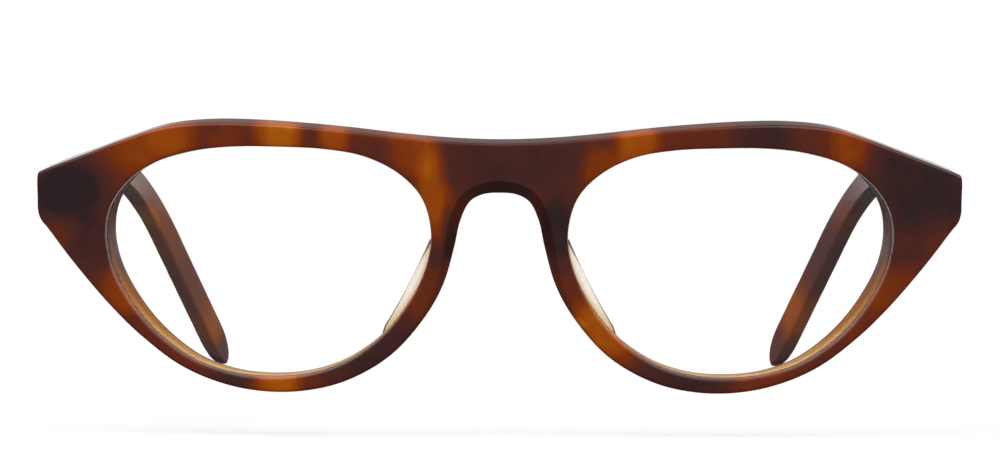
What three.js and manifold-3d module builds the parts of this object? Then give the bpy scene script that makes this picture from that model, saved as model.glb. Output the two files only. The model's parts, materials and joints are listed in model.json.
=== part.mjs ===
// Oval tortoiseshell eyeglasses with open temples, standing on a table.
// Millimetres, +Z up, front towards -Y. The lowest points of both rims and both temple tips rest on z = 0.
import * as THREE from 'three';
import { mergeVertices } from 'three/addons/utils/BufferGeometryUtils.js';
import Module from 'manifold-3d';

const wasm = await Module();
wasm.setup();

// Lens openings and bridge, measured at the front face before the front is bent
const openingWidth = 49.5;
const openingHeight = 35.2;
const bridgeWidth = 20.5;
const bridgeTopHeight = 18.6;
const bridgeDepth = 7.7;
const archBevelWidth = 2.1;
const archBevelDepth = 1.7;

// Rims
const rimWidth = 2.4;
const frontThickness = 4.5;
const temporalThickening = 1.0;
const edgeRounding = 0.45;
const frontBendRadius = 300;
const grooveDepth = 0.6;
const grooveHalfWidth = 0.9;
const grooveSetback = 2.0;

// Endpieces, which carry the hinges
const endpieceReach = 10.75;
const endpieceHeight = 7.9;
const endpieceCentreHeight = 8.9;
const lugShoulderThickness = 8.4;
const lugEdgeThickness = 7.2;
const lugBlendLength = 9;
const lugBlendHeight = 5;

// Lenses
const lensThickness = 1.9;
const lensBulge = 1.35;
const lensClearance = 0.12;

// Nose pads
const padReach = 4.6;
const padBaseWidth = 2.7;
const padFlareWidth = 2.2;
const padSeatGap = 0.08;

// Hinges: five knuckles on a vertical screw
const knuckleRadius = 1.3;
const knuckleHeight = 0.95;
const knuckleGap = 0.08;
const knuckleCount = 5;
const knuckleBoreRadius = 0.78;
const pivotSetback = 1.5;
const leafThickness = 1.1;
const frontLeafWidth = 5.3;
const frontLeafInset = 1.1;
const templeLeafLength = 9;
const leafClearance = 0.08;
const screwRadius = 0.62;
const screwHeadRadius = 1.15;
const screwHeadHeight = 0.55;
const screwSlotWidth = 0.35;
const screwSlotDepth = 0.28;
const screwTailLength = 0.35;

// Temples
const templeLength = 145;
const templeFrontHeight = 7.0;
const templeMiddleHeight = 4.6;
const templeTipHeight = 4.8;
const templeFrontThickness = 3.8;
const templeMiddleThickness = 3.0;
const templeTipThickness = 2.8;
const taperStartLength = 30;
const templeEdgeRounding = 0.55;
const templeJointGap = 0.3;
const bendStartLength = 80;
const bendRadius = 37;
const bowStartLength = 75.5;
const bowRadius = 82;
const tipRoundLength = 8;

// Core wires inside the temples
const wireHeight = 1.5;
const wireThickness = 0.8;
const wireClearance = 0.12;
const wireDepth = 2.3;
const wireEndLength = 108;
const wireStartLength = 1.2;

// One overrun for every cutting tool
const cutOverrun = 1;

// Angles
const pantoscopicAngle = THREE.MathUtils.degToRad(8.5);
const templeSplay = THREE.MathUtils.degToRad(0.2);
const earBendAngle = THREE.MathUtils.degToRad(46.7);
const bowAngle = THREE.MathUtils.degToRad(24);

// Places that follow from the sizes above
const openingHalfWidth = openingWidth / 2;
const openingHalfHeight = openingHeight / 2;
const bridgeHalf = bridgeWidth / 2;
const lensCentre = bridgeHalf + openingHalfWidth;
const openingOuter = bridgeHalf + openingWidth;
const frontHalfWidth = openingOuter + endpieceReach;
const endpieceHalfHeight = endpieceHeight / 2;
const archTopHeight = bridgeTopHeight - bridgeDepth;
const leafHeight = knuckleCount * knuckleHeight + (knuckleCount - 1) * knuckleGap;
const hingeHalfHeight = leafHeight / 2;

// The opening's outline as shares of its half width and half height, from the temporal side over the top
const openingShares = [
  [1, 0.196], [0.969, 0.431], [0.86, 0.655], [0.689, 0.83], [0.452, 0.942], [0.214, 0.99],
  [-0.08, 1], [-0.371, 0.986], [-0.602, 0.929], [-0.808, 0.785], [-0.945, 0.577], [-1, 0.27],
  [-0.969, -0.02], [-0.889, -0.276], [-0.715, -0.606], [-0.481, -0.85], [-0.246, -0.967],
  [0, -1], [0.242, -0.97], [0.464, -0.867], [0.703, -0.629], [0.868, -0.35], [0.969, -0.071],
];

// Rim widths over the top and under the lens: place along the opening's outline, share of the rim width
const topRimShares = [
  [2.5, 2.31], [3.5, 1.9], [4.5, 1.63], [5.5, 1.45], [6.5, 1.32], [7.5, 1.35], [8.5, 1.95],
];
const bottomRimShares = [
  [12.3, 1.38], [13.2, 1.33], [14.2, 1.25], [15.2, 1.11], [16.2, 1.02], [17.2, 0.94],
  [18.2, 0.81], [19.2, 0.77], [20.2, 0.88], [20.9, 1.17], [21.5, 1.52],
];

// Bridge points: place along the opening, share of the bridge's half width, share of its depth below its top
const bridgeTopShares = [[8.9, 0.78, -0.035], [9.2, 0, 0]];
const archShares = [
  [9.45, 0, 1], [9.65, 0.254, 1.035], [9.95, 0.439, 1.18], [10.5, 0.576, 1.556], [11.2, 0.659, 2.05],
];

// Endpiece points: place along the opening, share of the reach, share of the half height about its centre
const endpieceLowerShares = [[22, 0.525, -2.38], [22.4, 0.86, -1.22]];
const endpieceEndShares = [
  [-0.6, 0.86, -1.22], [-0.35, 0.949, -0.937], [-0.1, 0.99, -0.62], [0.25, 1, 0],
  [0.65, 0.997, 0.747], [0.85, 0.974, 0.9], [1.1, 0.916, 0.987],
];
const endpieceUpperShares = [[1.1, 0.916, 0.987], [1.7, 0.3, 1.67]];

// How often each outline is divided between two of its points, and the sides of the round parts
const rimSteps = 3;
const knuckleSides = 24;
const screwSides = 20;

// Bevel of the nose arch: its width beside the nose, and how far below the arch it fades, in bridge depths
const archSideShare = 0.6;
const archFadeShares = [1, 3];

// Where the lug's shoulder lies between the opening and the outline
const lugShoulderShare = 0.28;

// Nose pads: both ends as places along the opening, the size left at the ends, and how full the middle is
const padEndShares = [11.05, 14.35];
const padTipShare = 0.16;
const padFullnessShare = 0.7;

// A pad's section: shares of the base width across and of the reach behind the rim
const padSectionShares = [
  [0.04, 0], [0.96, 0], [1.1, 0.3], [1.32, 0.62], [1.64, 0.9],
  [1.58, 1.0], [1.34, 1.04], [0.94, 0.86], [0.48, 0.5], [0.12, 0.2],
];

// Knuckle webs against the knuckle radius, the set-in of a rounded edge's middle point, and the most
// that a rounding takes of a half height or half thickness
const webShare = 0.8;
const cornerShare = 0.29;
const mostRoundingShare = 0.5;

// Temple tip: how far round it the last section lies, and the thickness left there
const tipTurnShare = 0.93;
const tipThicknessShare = 0.35;

// Flat outlines of the right half, before bending
const openingCurve = new THREE.CatmullRomCurve3(
  openingShares.map(([across, up]) => new THREE.Vector3(
    lensCentre + across * openingHalfWidth, up * openingHalfHeight, 0)),
  true,
  'centripetal',
);

function openingAt(place) {
  const turns = place / openingShares.length;
  return openingCurve.getPoint(turns - Math.floor(turns));
}

function outwardAt(place) {
  const turns = place / openingShares.length;
  const along = openingCurve.getTangent(turns - Math.floor(turns));
  return new THREE.Vector3(along.y, -along.x, 0).normalize();
}

function rimPoint(place, widthShare) {
  return openingAt(place).addScaledVector(outwardAt(place), widthShare * rimWidth);
}

function bridgePoint(halfShare, depthShare) {
  return new THREE.Vector3(halfShare * bridgeHalf, bridgeTopHeight - depthShare * bridgeDepth, 0);
}

function endpiecePoint(reachShare, heightShare) {
  return new THREE.Vector3(
    openingOuter + reachShare * endpieceReach,
    endpieceCentreHeight + heightShare * endpieceHalfHeight,
    0,
  );
}

// Stations pair a point of the opening with a point of the outline. The guides are the curve's
// neighbours across the centre plane, so that it crosses the plane squarely.
function stationsAlong(keys, guideBefore, guideAfter) {
  const points = keys.map((key) => key.outer);
  const guided = [...guideBefore, ...points, ...guideAfter];
  const curve = new THREE.CatmullRomCurve3(guided, false, 'centripetal');
  const spans = guided.length - 1;
  const stations = [];
  for (let i = 0; i < keys.length - 1; i += 1) {
    for (let step = 0; step < rimSteps; step += 1) {
      const share = step / rimSteps;
      stations.push({
        place: THREE.MathUtils.lerp(keys[i].place, keys[i + 1].place, share),
        outer: curve.getPoint((guideBefore.length + i + share) / spans),
      });
    }
  }
  return stations;
}

function mirrored(point) {
  return new THREE.Vector3(-point.x, point.y, point.z);
}

const endKeys = endpieceEndShares.map(([place, reach, up]) => ({ place, outer: endpiecePoint(reach, up) }));
const topKeys = [
  ...endpieceUpperShares.map(([place, reach, up]) => ({ place, outer: endpiecePoint(reach, up) })),
  ...topRimShares.map(([place, width]) => ({ place, outer: rimPoint(place, width) })),
  ...bridgeTopShares.map(([place, half, down]) => ({ place, outer: bridgePoint(half, down) })),
];
const bottomKeys = [
  ...archShares.map(([place, half, down]) => ({ place, outer: bridgePoint(half, down) })),
  ...bottomRimShares.map(([place, width]) => ({ place, outer: rimPoint(place, width) })),
  ...endpieceLowerShares.map(([place, reach, up]) => ({ place, outer: endpiecePoint(reach, up) })),
];
const topCentreKey = topKeys[topKeys.length - 1];
const archKey = bottomKeys[0];

const endStations = endKeys.slice(0, -1).map((key) => ({ ...key }));
const topStations = stationsAlong(topKeys, [], [mirrored(topKeys[topKeys.length - 2].outer)]);
const bottomStations = stationsAlong(bottomKeys, [mirrored(bottomKeys[1].outer)], []);
const outlineStations = [...endStations, ...topStations, topCentreKey, ...bottomStations];
const archIndex = endStations.length + topStations.length + 1;

// Bending: the flat front is rolled about an upright axis behind it, so that both ends sweep back
function bent(across, up, back) {
  const angle = across / frontBendRadius;
  const radius = frontBendRadius - back;
  return new THREE.Vector3(radius * Math.sin(angle), frontBendRadius - radius * Math.cos(angle), up);
}

// Rings of points become one closed body. Rings that don't close on themselves along the path are capped.
function loft(rings, closedPath) {
  const count = rings[0].length;
  const positions = rings.flat().flatMap((point) => [point.x, point.y, point.z]);
  const indices = [];
  const spans = closedPath ? rings.length : rings.length - 1;
  for (let i = 0; i < spans; i += 1) {
    const here = i * count;
    const next = ((i + 1) % rings.length) * count;
    for (let j = 0; j < count; j += 1) {
      const k = (j + 1) % count;
      indices.push(here + j, here + k, next + k, here + j, next + k, next + j);
    }
  }
  if (!closedPath) {
    for (const [ring, flip] of [[0, true], [rings.length - 1, false]]) {
      const middle = new THREE.Vector3();
      rings[ring].forEach((point) => middle.add(point));
      middle.divideScalar(count);
      const centre = positions.length / 3;
      positions.push(middle.x, middle.y, middle.z);
      for (let j = 0; j < count; j += 1) {
        const here = ring * count + j;
        const next = ring * count + ((j + 1) % count);
        indices.push(centre, flip ? next : here, flip ? here : next);
      }
    }
  }
  const geometry = new THREE.BufferGeometry();
  geometry.setAttribute('position', new THREE.Float32BufferAttribute(positions, 3));
  geometry.setIndex(indices);
  return facingOut(geometry);
}

function enclosedVolume(geometry) {
  const { position } = geometry.attributes;
  const order = geometry.index.array;
  const corners = [new THREE.Vector3(), new THREE.Vector3(), new THREE.Vector3()];
  let volume = 0;
  for (let i = 0; i < order.length; i += 3) {
    corners.forEach((corner, k) => corner.fromBufferAttribute(position, order[i + k]));
    volume += corners[0].dot(corners[1].clone().cross(corners[2]));
  }
  return volume;
}

function facingOut(geometry) {
  if (enclosedVolume(geometry) < 0) {
    const order = geometry.index.array;
    for (let i = 0; i < order.length; i += 3) {
      [order[i], order[i + 1]] = [order[i + 1], order[i]];
    }
  }
  return geometry;
}

// Solids for joining and cutting
function solidOf(geometry) {
  const bare = geometry.clone();
  bare.deleteAttribute('normal');
  bare.deleteAttribute('uv');
  const merged = mergeVertices(bare);
  return new wasm.Manifold(new wasm.Mesh({
    numProp: 3,
    vertProperties: new Float32Array(merged.attributes.position.array),
    triVerts: new Uint32Array(merged.index.array),
  }));
}

function geometryOf(solid) {
  const mesh = solid.getMesh();
  const geometry = new THREE.BufferGeometry();
  geometry.setAttribute('position', new THREE.BufferAttribute(new Float32Array(mesh.vertProperties), 3));
  geometry.setIndex(new THREE.BufferAttribute(new Uint32Array(mesh.triVerts), 1));
  return geometry;
}

function mirrorGeometry(geometry) {
  const copy = geometry.clone();
  copy.scale(-1, 1, 1);
  return facingOut(copy);
}

function boxBetween(low, high) {
  const size = high.clone().sub(low);
  const box = new THREE.BoxGeometry(size.x, size.y, size.z);
  const middle = low.clone().add(high).divideScalar(2);
  return box.translate(middle.x, middle.y, middle.z);
}

function uprightCylinder(radius, bottom, top, sides) {
  const cylinder = new THREE.CylinderGeometry(radius, radius, top - bottom, sides);
  cylinder.rotateX(Math.PI / 2);
  return cylinder.translate(0, 0, (top + bottom) / 2);
}

// Hinge frame: origin on the screw's axis, +Y along the temple, +X outwards, +Z along the screw
const templeOuterFace = bent(frontHalfWidth, 0, frontThickness + temporalThickening).x;
const pivotAcross = templeOuterFace - templeFrontThickness - pivotSetback;
const jointBack = bent(frontHalfWidth, 0, frontThickness + temporalThickening).y;
const pivot = new THREE.Vector3(pivotAcross, jointBack + pivotSetback, endpieceCentreHeight);
const hingeTurn = new THREE.Euler(-pantoscopicAngle, 0, -templeSplay, 'XYZ');
const hingeMatrix = new THREE.Matrix4().compose(
  pivot,
  new THREE.Quaternion().setFromEuler(hingeTurn),
  new THREE.Vector3(1, 1, 1),
);
const templeInnerFace = pivotSetback;
const templeFrontEnd = templeJointGap - pivotSetback;

// Front: a section with a lens groove, carried round the right opening
function smoothShare(value, start, end) {
  return THREE.MathUtils.smoothstep(value, start, end);
}

function lugShareAt(outer) {
  const across = smoothShare(outer.x, openingOuter - lugBlendLength / 2, openingOuter + lugBlendLength / 2);
  const distance = Math.abs(outer.y - endpieceCentreHeight);
  const fadeStart = endpieceHalfHeight + edgeRounding;
  return across * (1 - smoothShare(distance, fadeStart, fadeStart + lugBlendHeight));
}

function outlineNormal(index) {
  const count = outlineStations.length;
  const before = outlineStations[(index + count - 1) % count].outer;
  const after = outlineStations[(index + 1) % count].outer;
  const here = outlineStations[index].outer;
  const into = here.clone().sub(before).normalize();
  const out = after.clone().sub(here).normalize();
  const along = into.add(out).normalize();
  return new THREE.Vector3(along.y, -along.x, 0);
}

function normalAt(index) {
  const { outer } = outlineStations[index];
  if (outer === topCentreKey.outer) {
    return new THREE.Vector3(0, 1, 0);
  }
  return index === archIndex ? new THREE.Vector3(0, -1, 0) : outlineNormal(index);
}

function archShareAt(outer, place) {
  if (place < archKey.place || outer.x > lensCentre) {
    return 0;
  }
  const [fadeStart, fadeEnd] = archFadeShares.map((share) => share * bridgeDepth);
  return 1 - smoothShare(archTopHeight - outer.y, fadeStart, fadeEnd);
}

function outerSection(outer, normal, place) {
  const lug = lugShareAt(outer);
  const edgeBack = THREE.MathUtils.lerp(frontThickness, lugEdgeThickness, lug);
  const arch = archShareAt(outer, place);
  const centreShare = 1 - Math.min(1, outer.x / bridgeHalf);
  const sideBevel = THREE.MathUtils.lerp(archSideShare * archBevelWidth, archBevelWidth, centreShare);
  const bevelWidth = THREE.MathUtils.lerp(edgeRounding, sideBevel, arch);
  const bevelDepth = THREE.MathUtils.lerp(edgeRounding, archBevelDepth, arch);
  const backInset = outer.clone().addScaledVector(normal, -edgeRounding);
  const frontInset = outer.clone().addScaledVector(normal, -bevelWidth);
  return [
    [backInset.x, backInset.y, edgeBack],
    [outer.x, outer.y, edgeBack - edgeRounding],
    [outer.x, outer.y, bevelDepth],
    [frontInset.x, frontInset.y, 0],
  ];
}

function openingSection(place, outer) {
  const edge = openingAt(place);
  const into = outwardAt(place);
  const lug = lugShareAt(outer);
  const temporal = smoothShare(edge.x, lensCentre, openingOuter);
  const back = frontThickness + temporal * temporalThickening;
  const shoulderBack = THREE.MathUtils.lerp(back, lugShoulderThickness, lug);
  const inset = edge.clone().addScaledVector(into, edgeRounding);
  const bottom = edge.clone().addScaledVector(into, grooveDepth);
  const shoulder = edge.clone().lerp(outer, lugShoulderShare);
  return [
    [inset.x, inset.y, 0],
    [edge.x, edge.y, edgeRounding],
    [edge.x, edge.y, grooveSetback - grooveHalfWidth],
    [bottom.x, bottom.y, grooveSetback],
    [edge.x, edge.y, grooveSetback + grooveHalfWidth],
    [edge.x, edge.y, back - edgeRounding],
    [inset.x, inset.y, back],
    [shoulder.x, shoulder.y, shoulderBack],
  ];
}

function mixedPoint(from, to, share) {
  return from.map((value, axis) => THREE.MathUtils.lerp(value, to[axis], share));
}

function frontHalfGeometry() {
  const sections = outlineStations.map((station, index) => {
    const normal = normalAt(index);
    return {
      station,
      inner: openingSection(station.place, station.outer),
      outer: outerSection(station.outer, normal, station.place),
    };
  });
  const topIndex = sections.findIndex((section) => section.station === topCentreKey);
  const rings = [];
  sections.forEach((section, index) => {
    rings.push([...section.inner, ...section.outer]);
    if (index === topIndex) {
      const next = sections[index + 1];
      const planeSteps = 2 * rimSteps;
      for (let step = 1; step < planeSteps; step += 1) {
        const share = step / planeSteps;
        const place = THREE.MathUtils.lerp(section.station.place, next.station.place, share);
        const outer = section.outer.map((point, k) => mixedPoint(point, next.outer[k], share));
        const onPlane = section.station.outer.clone().lerp(next.station.outer, share);
        rings.push([...openingSection(place, onPlane), ...outer]);
      }
    }
  });
  return loft(rings.map((ring) => ring.map((point) => bent(...point))), true);
}

function jointCutter() {
  const low = new THREE.Vector3(-2 * pivotSetback, -pivotSetback, -endpieceHeight - cutOverrun);
  const high = new THREE.Vector3(endpieceReach, endpieceReach, endpieceHeight + cutOverrun);
  return boxBetween(low, high).applyMatrix4(hingeMatrix);
}

function frontLeafPocket() {
  const halfHeight = leafHeight / 2 + leafClearance;
  const inner = -frontLeafInset - leafClearance;
  const outer = frontLeafWidth - frontLeafInset + leafClearance;
  const bottom = -pivotSetback - leafThickness - leafClearance;
  const low = new THREE.Vector3(inner, bottom, -halfHeight);
  const high = new THREE.Vector3(outer, cutOverrun, halfHeight);
  return boxBetween(low, high).applyMatrix4(hingeMatrix);
}

function frontGeometry() {
  const half = solidOf(frontHalfGeometry())
    .subtract(solidOf(jointCutter()))
    .subtract(solidOf(frontLeafPocket()));
  const halfGeometry = geometryOf(half);
  return geometryOf(half.add(solidOf(mirrorGeometry(halfGeometry))));
}

// Lens: a bulged disc whose edge is a V that sits in the groove
function lensGeometry() {
  const edgeStations = 46;
  const ringShares = [0.2, 0.4, 0.6, 0.8];
  const frontEdge = grooveSetback - lensThickness / 2;
  const backEdge = grooveSetback + lensThickness / 2;
  const centre = new THREE.Vector3(lensCentre, 0, 0);
  const ringAt = (reach, share, back) => Array.from({ length: edgeStations }, (_, k) => {
    const place = (k / edgeStations) * openingShares.length;
    const edge = openingAt(place).addScaledVector(outwardAt(place), reach);
    const point = centre.clone().lerp(edge, share);
    return bent(point.x, point.y, back - lensBulge * (1 - share * share));
  });
  return loft([
    ...ringShares.map((share) => ringAt(-lensClearance, share, frontEdge)),
    ringAt(-lensClearance, 1, frontEdge),
    ringAt(grooveDepth - lensClearance, 1, grooveSetback),
    ringAt(-lensClearance, 1, backEdge),
    ...ringShares.toReversed().map((share) => ringAt(-lensClearance, share, backEdge)),
  ], false);
}

// Nose pad: a crescent on the back of the rim beside the nose, flaring away from the nose
function padGeometry() {
  const sectionCount = 13;
  const rings = [];
  for (let i = 0; i < sectionCount; i += 1) {
    const along = i / (sectionCount - 1);
    const place = THREE.MathUtils.lerp(...padEndShares, along);
    const fullness = Math.max(0, Math.sin(Math.PI * along)) ** padFullnessShare;
    const swell = THREE.MathUtils.lerp(padTipShare, 1, fullness);
    const into = outwardAt(place);
    const edge = openingAt(place);
    rings.push(padSectionShares.map(([across, back]) => {
      const inward = padBaseWidth * (1 - across) + edgeRounding;
      const flare = padFlareWidth * back * back * (swell - 1);
      const point = edge.clone().addScaledVector(into, inward - flare);
      return bent(point.x, point.y, frontThickness + padSeatGap + back * padReach * swell);
    }));
  }
  return loft(rings, false);
}

// Hinge leaves and screw. The knuckles take turns: the lowest, and every second one, is the front's.
const knucklePitch = knuckleHeight + knuckleGap;
const knuckleIndexes = [...Array(knuckleCount).keys()];
const frontKnuckles = knuckleIndexes.filter((index) => index % 2 === 0);
const templeKnuckles = knuckleIndexes.filter((index) => index % 2 === 1);

function knuckleBottom(index) {
  return -hingeHalfHeight + index * knucklePitch;
}

function withKnuckles(plate, indexes, webLow, webHigh) {
  const reach = hingeHalfHeight + cutOverrun;
  const bore = solidOf(uprightCylinder(knuckleBoreRadius, -reach, reach, knuckleSides));
  let leaf = solidOf(plate);
  indexes.forEach((index) => {
    const bottom = knuckleBottom(index);
    const top = bottom + knuckleHeight;
    const web = boxBetween(
      new THREE.Vector3(webLow.x, webLow.y, bottom),
      new THREE.Vector3(webHigh.x, webHigh.y, top),
    );
    const barrel = uprightCylinder(knuckleRadius, bottom, top, knuckleSides);
    leaf = leaf.add(solidOf(web)).add(solidOf(barrel));
  });
  return geometryOf(leaf.subtract(bore));
}

function frontLeafGeometry() {
  const plateBack = -pivotSetback;
  const plate = boxBetween(
    new THREE.Vector3(-frontLeafInset, plateBack - leafThickness, -leafHeight / 2),
    new THREE.Vector3(frontLeafWidth - frontLeafInset, plateBack, leafHeight / 2),
  );
  const webHalf = webShare * knuckleRadius;
  return withKnuckles(
    plate,
    frontKnuckles,
    new THREE.Vector3(-webHalf, plateBack - leafThickness / 2, 0),
    new THREE.Vector3(webHalf, 0, 0),
  );
}

function templeLeafGeometry() {
  const plate = boxBetween(
    new THREE.Vector3(templeInnerFace, templeFrontEnd + leafClearance, -leafHeight / 2),
    new THREE.Vector3(templeInnerFace + leafThickness, templeFrontEnd + templeLeafLength, leafHeight / 2),
  );
  const webHalf = webShare * knuckleRadius;
  return withKnuckles(
    plate,
    templeKnuckles,
    new THREE.Vector3(0, -webHalf, 0),
    new THREE.Vector3(templeInnerFace + leafThickness / 2, webHalf, 0),
  );
}

function screwGeometry() {
  const tail = -hingeHalfHeight - screwTailLength;
  const seat = hingeHalfHeight + knuckleGap;
  const top = seat + screwHeadHeight;
  const slotReach = screwHeadRadius + cutOverrun;
  const shank = solidOf(uprightCylinder(screwRadius, tail, seat + screwHeadHeight / 2, screwSides));
  const head = solidOf(uprightCylinder(screwHeadRadius, seat, top, screwSides));
  const slot = boxBetween(
    new THREE.Vector3(-slotReach, -screwSlotWidth / 2, top - screwSlotDepth),
    new THREE.Vector3(slotReach, screwSlotWidth / 2, top + cutOverrun),
  );
  return geometryOf(shank.add(head).subtract(solidOf(slot)));
}

// Temple: straight from the hinge, then turned inwards and bent down behind the ear.
// The path is measured along the middle of the temple's inner face.
function templePath(length) {
  const steps = 200;
  const place = new THREE.Vector3(templeInnerFace, templeFrontEnd, 0);
  const frame = (distance) => {
    const drop = THREE.MathUtils.clamp((distance - bendStartLength) / bendRadius, 0, earBendAngle);
    const turn = THREE.MathUtils.clamp((distance - bowStartLength) / bowRadius, 0, bowAngle);
    const along = new THREE.Vector3(
      -Math.sin(turn) * Math.cos(drop),
      Math.cos(turn) * Math.cos(drop),
      -Math.sin(drop),
    );
    const outward = new THREE.Vector3(Math.cos(turn), Math.sin(turn), 0);
    return { along, outward, upward: outward.clone().cross(along) };
  };
  for (let i = 0; i < steps; i += 1) {
    place.addScaledVector(frame((length * (i + 0.5)) / steps).along, length / steps);
  }
  return { place, ...frame(length) };
}

function templeHeightAt(length) {
  const toMiddle = smoothShare(length, 0, bendStartLength);
  const toTip = smoothShare(length, bendStartLength, templeLength - tipRoundLength);
  const height = THREE.MathUtils.lerp(templeFrontHeight, templeMiddleHeight, toMiddle);
  return THREE.MathUtils.lerp(height, templeTipHeight, toTip);
}

function templeThicknessAt(length) {
  const toMiddle = smoothShare(length, taperStartLength, bendStartLength);
  const toTip = smoothShare(length, bendStartLength, templeLength);
  const thickness = THREE.MathUtils.lerp(templeFrontThickness, templeMiddleThickness, toMiddle);
  return THREE.MathUtils.lerp(thickness, templeTipThickness, toTip);
}

function templeSection(length, heightShare, thicknessShare) {
  const { place, outward, upward } = templePath(length);
  const fullThickness = templeThicknessAt(length);
  const halfHeight = (templeHeightAt(length) / 2) * heightShare;
  const halfThickness = (fullThickness / 2) * thicknessShare;
  const rounding = Math.min(templeEdgeRounding, mostRoundingShare * Math.min(halfThickness, halfHeight));
  const middle = place.clone().addScaledVector(outward, fullThickness / 2);
  const corner = (acrossSign, upSign) => [
    [acrossSign * halfThickness, upSign * (halfHeight - rounding)],
    [acrossSign * (halfThickness - cornerShare * rounding), upSign * (halfHeight - cornerShare * rounding)],
    [acrossSign * (halfThickness - rounding), upSign * halfHeight],
  ];
  return [
    ...corner(1, 1),
    ...corner(-1, 1).toReversed(),
    ...corner(-1, -1),
    ...corner(1, -1).toReversed(),
  ].map(([across, up]) => middle.clone().addScaledVector(outward, across).addScaledVector(upward, up));
}

function templeBlankGeometry() {
  const straightEnd = templeLength - tipRoundLength;
  const bodyLengths = [0];
  const straightSections = 8;
  const earSections = 18;
  for (let i = 1; i <= straightSections; i += 1) {
    bodyLengths.push(THREE.MathUtils.lerp(0, bowStartLength, i / straightSections));
  }
  for (let i = 1; i <= earSections; i += 1) {
    bodyLengths.push(THREE.MathUtils.lerp(bowStartLength, straightEnd, i / earSections));
  }
  const rings = bodyLengths.map((length) => templeSection(length, 1, 1));
  const tipSections = 5;
  for (let i = 1; i <= tipSections; i += 1) {
    const angle = (Math.PI / 2) * tipTurnShare * (i / tipSections);
    const length = straightEnd + tipRoundLength * Math.sin(angle);
    const thicknessShare = THREE.MathUtils.lerp(tipThicknessShare, 1, Math.cos(angle));
    rings.push(templeSection(length, Math.cos(angle), thicknessShare));
  }
  return loft(rings, false);
}

function wireGeometry(clearance, start, end) {
  const wireSections = 26;
  const rings = [];
  for (let i = 0; i <= wireSections; i += 1) {
    const length = THREE.MathUtils.lerp(start, end, i / wireSections);
    const { place, outward, upward } = templePath(length);
    const depthShare = templeThicknessAt(length) / templeFrontThickness;
    const halfAcross = wireThickness / 2 + clearance;
    const halfUp = wireHeight / 2 + clearance;
    const middle = place.clone().addScaledVector(outward, wireDepth * depthShare);
    rings.push([[1, 1], [-1, 1], [-1, -1], [1, -1]].map(([across, up]) => middle.clone()
      .addScaledVector(outward, across * halfAcross)
      .addScaledVector(upward, up * halfUp)));
  }
  return loft(rings, false);
}

function templeGeometry() {
  const halfHeight = leafHeight / 2 + leafClearance;
  const pocketBottom = templeInnerFace + leafThickness + leafClearance;
  const pocketEnd = templeFrontEnd + templeLeafLength + leafClearance;
  const leafPocket = boxBetween(
    new THREE.Vector3(templeInnerFace - cutOverrun, templeFrontEnd - cutOverrun, -halfHeight),
    new THREE.Vector3(pocketBottom, pocketEnd, halfHeight),
  );
  const channel = wireGeometry(wireClearance, -cutOverrun, wireEndLength + wireClearance);
  return geometryOf(solidOf(templeBlankGeometry()).subtract(solidOf(leafPocket)).subtract(solidOf(channel)));
}

// Finishes
const darkTortoise = { color: 0x4a2a1e, roughness: 0.18, metalness: 0 };
const padAcetate = { color: 0xd9b98a, roughness: 0.2, metalness: 0 };
const lensGlass = { color: 0xe9eeec, roughness: 0.03, metalness: 0, transparent: true, opacity: 0.3 };
const hingeMetal = { color: 0xb9b4ab, roughness: 0.35, metalness: 1 };
const screwSteel = { color: 0xc9c9cc, roughness: 0.25, metalness: 1 };
const wireMetal = { color: 0xb08d57, roughness: 0.4, metalness: 1 };

function namedMesh(name, geometry, finish) {
  geometry.computeVertexNormals();
  const mesh = new THREE.Mesh(geometry, new THREE.MeshStandardMaterial(finish));
  mesh.name = name;
  return mesh;
}

// The two sides, each with its own hinge frame
const front = new THREE.Group();
const templeGroups = [];
front.add(namedMesh('front', frontGeometry(), darkTortoise));

for (const side of ['left', 'right']) {
  const sided = (geometry) => (side === 'right' ? geometry : mirrorGeometry(geometry));
  const wire = wireGeometry(0, wireStartLength, wireEndLength);
  front.add(namedMesh(`lens_${side}`, sided(lensGeometry()), lensGlass));
  front.add(namedMesh(`nose_pad_${side}`, sided(padGeometry()), padAcetate));
  const hinge = new THREE.Group();
  const acrossSign = side === 'right' ? 1 : -1;
  hinge.position.set(acrossSign * pivot.x, pivot.y, pivot.z);
  hinge.rotation.set(hingeTurn.x, 0, acrossSign * hingeTurn.z);
  hinge.add(namedMesh(`front_hinge_leaf_${side}`, sided(frontLeafGeometry()), hingeMetal));
  hinge.add(namedMesh(`hinge_screw_${side}`, sided(screwGeometry()), screwSteel));
  hinge.add(namedMesh(`temple_hinge_leaf_${side}`, sided(templeLeafGeometry()), hingeMetal));
  hinge.add(namedMesh(`temple_${side}`, sided(templeGeometry()), darkTortoise));
  hinge.add(namedMesh(`core_wire_${side}`, sided(wire), wireMetal));
  templeGroups.push(hinge);
  front.add(hinge);
}

// Rest: the glasses lean until the rims and the temple tips touch the table together
function pointsOf(mesh) {
  mesh.updateWorldMatrix(true, false);
  const { position } = mesh.geometry.attributes;
  const points = [];
  for (let i = 0; i < position.count; i += 1) {
    points.push(new THREE.Vector3().fromBufferAttribute(position, i).applyMatrix4(mesh.matrixWorld));
  }
  return points;
}

function lowestAt(points, lean) {
  return Math.min(...points.map((point) => point.y * Math.sin(lean) + point.z * Math.cos(lean)));
}

function restLean() {
  const frontPoints = pointsOf(front.getObjectByName('front'));
  const templePoints = pointsOf(front.getObjectByName('temple_right'));
  const halvings = 40;
  let low = 0;
  let high = Math.PI / 4;
  for (let i = 0; i < halvings; i += 1) {
    const lean = (low + high) / 2;
    if (lowestAt(templePoints, lean) < lowestAt(frontPoints, lean)) {
      low = lean;
    } else {
      high = lean;
    }
  }
  return (low + high) / 2;
}

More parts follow.
